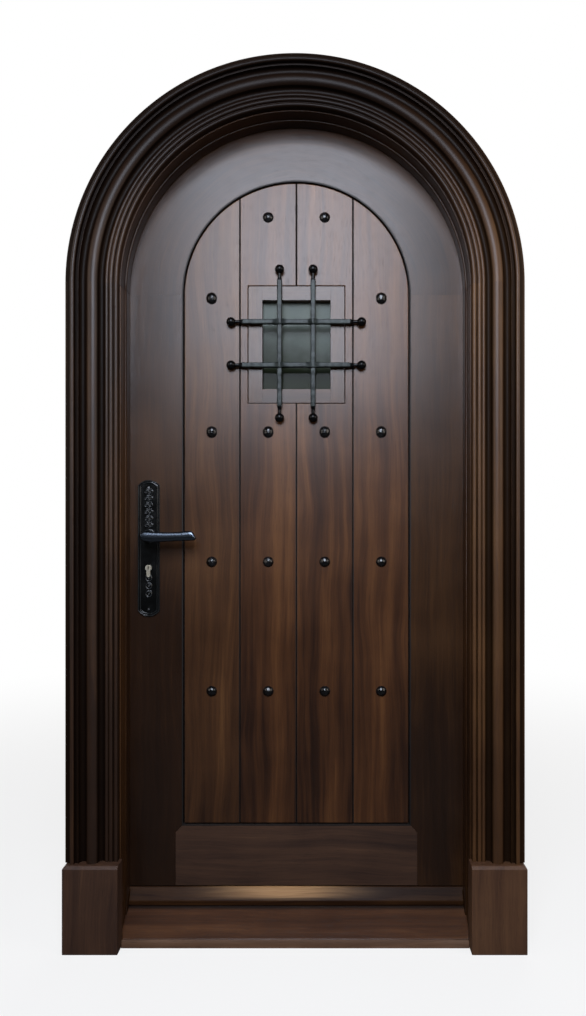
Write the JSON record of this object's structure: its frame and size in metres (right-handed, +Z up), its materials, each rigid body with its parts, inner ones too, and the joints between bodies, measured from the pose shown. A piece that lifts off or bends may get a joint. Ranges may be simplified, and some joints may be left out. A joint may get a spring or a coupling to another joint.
{
  "type": "arched plank entry door",
  "caption": "Arched mahogany plank entry door in a moulded frame with sill, domed studs, an opening light behind an iron grille, butt hinges and a mortise lock with levers.",
  "frame": {"origin": "floor level under the middle of the sill, in the plane of the wall face behind the casing", "axes": "+X to the right seen from outside, +Y into the house, +Z up"},
  "size_m": [1.178, 0.245, 2.2959],
  "materials": {
    "frame_wood": "dark stained mahogany, satin",
    "leaf_wood": "dark stained mahogany, satin",
    "board_wood": "stained mahogany boards, satin",
    "saddle_wood": "worn stained mahogany",
    "black_iron": "black satin, hammered",
    "bar_iron": "waxed dark grey",
    "hinge_steel": "dark bronzed",
    "lock_steel": "brushed",
    "cylinder_brass": "satin nickel on brass",
    "pane_glass": "lightly obscured",
    "seal_rubber": "matte"
  },
  "bodies": {
    "frame": {"jamb_left": "frame_wood", "jamb_right": "frame_wood", "jamb_arch": "frame_wood", "stop_left": "frame_wood", "stop_right": "frame_wood", "stop_arch": "frame_wood", "frame_seal": "seal_rubber", "casing_left": "frame_wood", "casing_right": "frame_wood", "casing_arch": "frame_wood", "plinth_left": "frame_wood", "plinth_right": "frame_wood", "sill": "frame_wood", "sill_shoe": "frame_wood", "saddle": "saddle_wood", "strike_plate": "hinge_steel", "hinge_jamb_leaves": "hinge_steel", "hinge_pins": "hinge_steel", "frame_screws": "lock_steel"},
    "leaf": {"stile_left": "leaf_wood", "stile_right": "leaf_wood", "arch_head": "leaf_wood", "bottom_rail": "leaf_wood", "board_1": "board_wood", "board_2": "board_wood", "board_3": "board_wood", "board_4": "board_wood", "bottom_sweep": "seal_rubber", "clavos": "black_iron", "grille_left": "bar_iron", "grille_right": "bar_iron", "grille_upper": "bar_iron", "grille_lower": "bar_iron", "plate_outside": "black_iron", "plate_inside": "black_iron", "plate_screws": "lock_steel", "lock_case": "lock_steel", "lock_forend": "lock_steel", "cylinder_body": "cylinder_brass", "hinge_door_leaves": "hinge_steel", "leaf_screws": "lock_steel", "sash_hinge_fixed": "hinge_steel"},
    "levers": {"lever_outside": "black_iron", "lever_inside": "black_iron", "spindle": "lock_steel", "follower": "lock_steel"},
    "latch": {"latch_bolt": "lock_steel"},
    "bolt": {"dead_bolt": "lock_steel"},
    "plug": {"cylinder_plug": "cylinder_brass"},
    "sash": {"sash_left": "leaf_wood", "sash_right": "leaf_wood", "sash_top": "leaf_wood", "sash_bottom": "leaf_wood", "glass": "pane_glass", "glazing_beads": "leaf_wood", "sash_hinge_moving": "hinge_steel", "sash_knob": "black_iron"},
    "button": {"turn_button": "black_iron"}
  },
  "joints": [
    {"name": "door_swing", "type": "hinge", "parent": "frame", "child": "leaf", "pos_m": [0.459, 0.144, 1], "axis": [0, 0, -1], "range_deg": [0, 105]},
    {"name": "lever_turn", "type": "hinge", "parent": "leaf", "child": "levers", "pos_m": [-0.397, 0.1085, 1.058], "axis": [0, 1, 0], "range_deg": [0, 40], "stiffness_Nm_per_rad": 1.5, "springref_deg": -34.38},
    {"name": "latch_slide", "type": "slide", "parent": "leaf", "child": "latch", "axis": [1, 0, 0], "range_m": [0, 0.012]},
    {"name": "key_turn", "type": "hinge", "parent": "leaf", "child": "plug", "pos_m": [-0.397, 0.1085, 0.973], "axis": [0, 1, 0], "range_deg": [0, 360]},
    {"name": "bolt_slide", "type": "slide", "parent": "leaf", "child": "bolt", "axis": [-1, 0, 0], "range_m": [0, 0.02]},
    {"name": "sash_swing", "type": "hinge", "parent": "leaf", "child": "sash", "pos_m": [0.1405, 0.132, 1.575], "axis": [0, 0, -1], "range_deg": [0, 100]},
    {"name": "button_turn", "type": "hinge", "parent": "leaf", "child": "button", "pos_m": [-0.163, 0.128, 1.575], "axis": [0, 1, 0], "range_deg": [0, 90]}
  ],
  "couplings": [
    {"joint": "latch_slide", "follows": "lever_turn", "m_per_rad": 0.017188},
    {"joint": "key_turn", "follows": "bolt_slide", "rad_per_m": 314.16}
  ]
}
